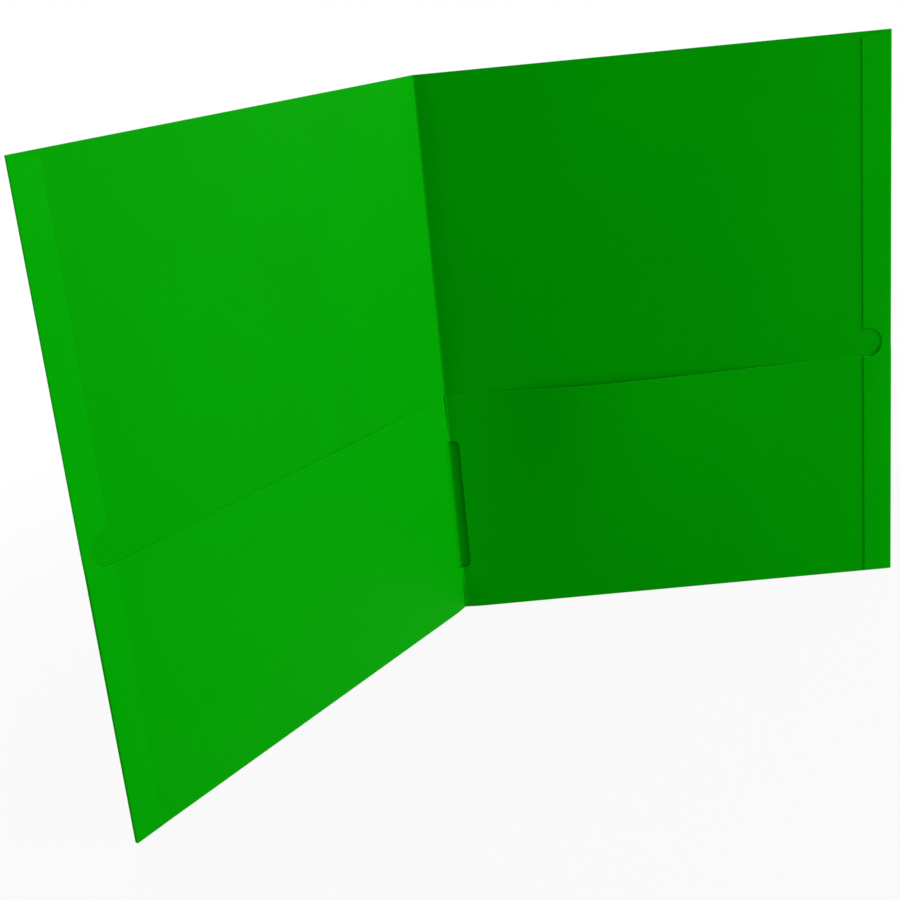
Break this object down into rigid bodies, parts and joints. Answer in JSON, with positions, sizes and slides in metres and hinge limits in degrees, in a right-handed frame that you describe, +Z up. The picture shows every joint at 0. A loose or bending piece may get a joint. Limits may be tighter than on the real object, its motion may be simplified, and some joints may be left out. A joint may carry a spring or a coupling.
{
  "type": "pocket folder",
  "caption": "Card pocket folder standing open on its foot, with a slotted pocket flap across the spine and glued edge strips with thumb notches.",
  "frame": {"origin": "on the surface it stands on, under the middle of the folder's box at rest", "axes": "+Z up along the spine, the back cover lies in the XZ plane with its inside towards -Y and its free edge at +X, the front cover swings forward on the left"},
  "size_m": [0.391, 0.1914, 0.2984],
  "materials": {
    "green_card": "satin",
    "dried_glue": "satin"
  },
  "bodies": {
    "back_cover": {"back_cover_panel": "green_card", "back_edge_fold": "green_card", "back_edge_strip": "green_card", "back_bottom_fold": "green_card", "back_pocket_margin": "green_card", "back_strip_glue_upper": "dried_glue", "back_strip_glue_lower": "dried_glue", "spine_crease": "green_card", "pocket_spine_web": "green_card"},
    "front_cover": {"front_cover_panel": "green_card", "front_edge_fold": "green_card", "front_edge_strip": "green_card", "front_bottom_fold": "green_card", "front_pocket_margin": "green_card", "front_strip_glue_upper": "dried_glue", "front_strip_glue_lower": "dried_glue"},
    "back_pocket": {"back_pocket_panel": "green_card"},
    "front_pocket": {"front_pocket_panel": "green_card"}
  },
  "joints": [
    {"name": "cover_fold", "type": "hinge", "parent": "back_cover", "child": "front_cover", "pos_m": [-0.0458, 0.09402, 0.14922], "axis": [0, 0, 1], "range_deg": [-51.8, 127.8], "deforming": ["spine_crease", "pocket_spine_web"]},
    {"name": "back_pocket_gape", "type": "hinge", "parent": "back_cover", "child": "back_pocket", "pos_m": [0.0517, 0.09494, 0.0006], "axis": [1, 0, 0], "range_deg": [-2.27, 0.93], "deforming": ["back_pocket_margin"]},
    {"name": "front_pocket_gape", "type": "hinge", "parent": "front_cover", "child": "front_pocket", "pos_m": [-0.12779, -0.00943, 0.0006], "axis": [0.6157, 0.788, 0], "range_deg": [-0.46, 0.19], "deforming": ["front_pocket_margin"]}
  ],
  "couplings": [
    {"joint": "back_pocket_gape", "follows": "cover_fold", "ratio": -0.0177},
    {"joint": "front_pocket_gape", "follows": "cover_fold", "ratio": -0.00354}
  ]
}
